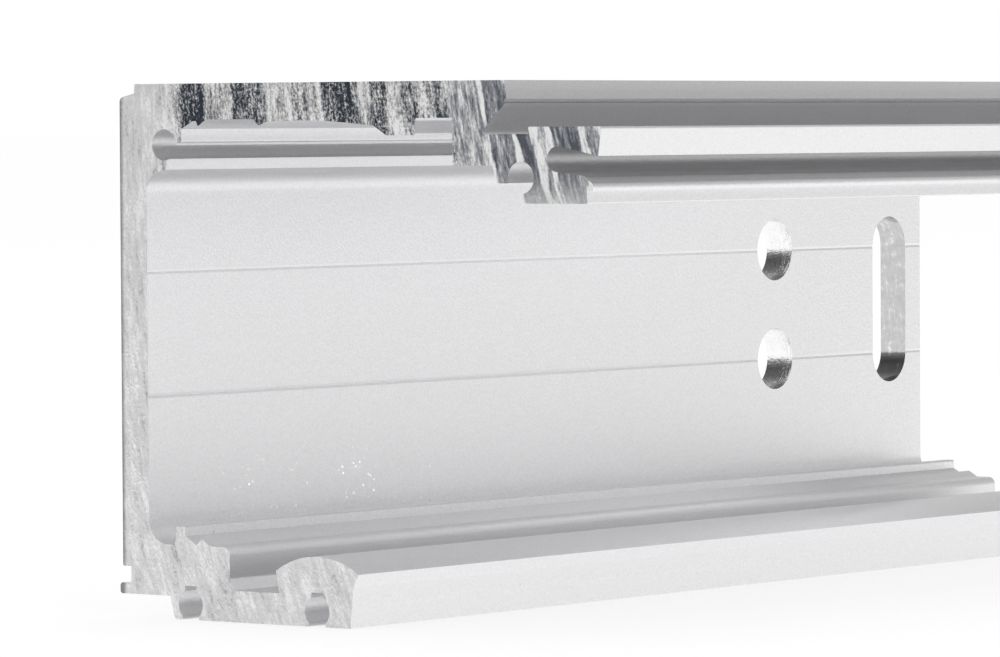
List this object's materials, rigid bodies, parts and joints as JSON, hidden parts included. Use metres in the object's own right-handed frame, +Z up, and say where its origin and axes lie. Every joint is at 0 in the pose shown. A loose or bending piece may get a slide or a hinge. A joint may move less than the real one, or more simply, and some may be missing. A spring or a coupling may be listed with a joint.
{
  "type": "sliding door track",
  "caption": "C-shaped aluminium extrusion with an arched rail on its lower flange, an undercut front nose, screw ports and drilled back wall, cut to a short length.",
  "frame": {"origin": "centre of the bounding box at the level of the underside, where the lower flange stands", "axes": "+X along the length towards the drilled end, +Y towards the wall it is bolted to, +Z up"},
  "size_m": [0.264, 0.1124, 0.1],
  "materials": {
    "aluminium": "satin mill finish with coarse sawn ends"
  },
  "bodies": {
    "root": {"track_profile": "aluminium"}
  },
  "joints": []
}
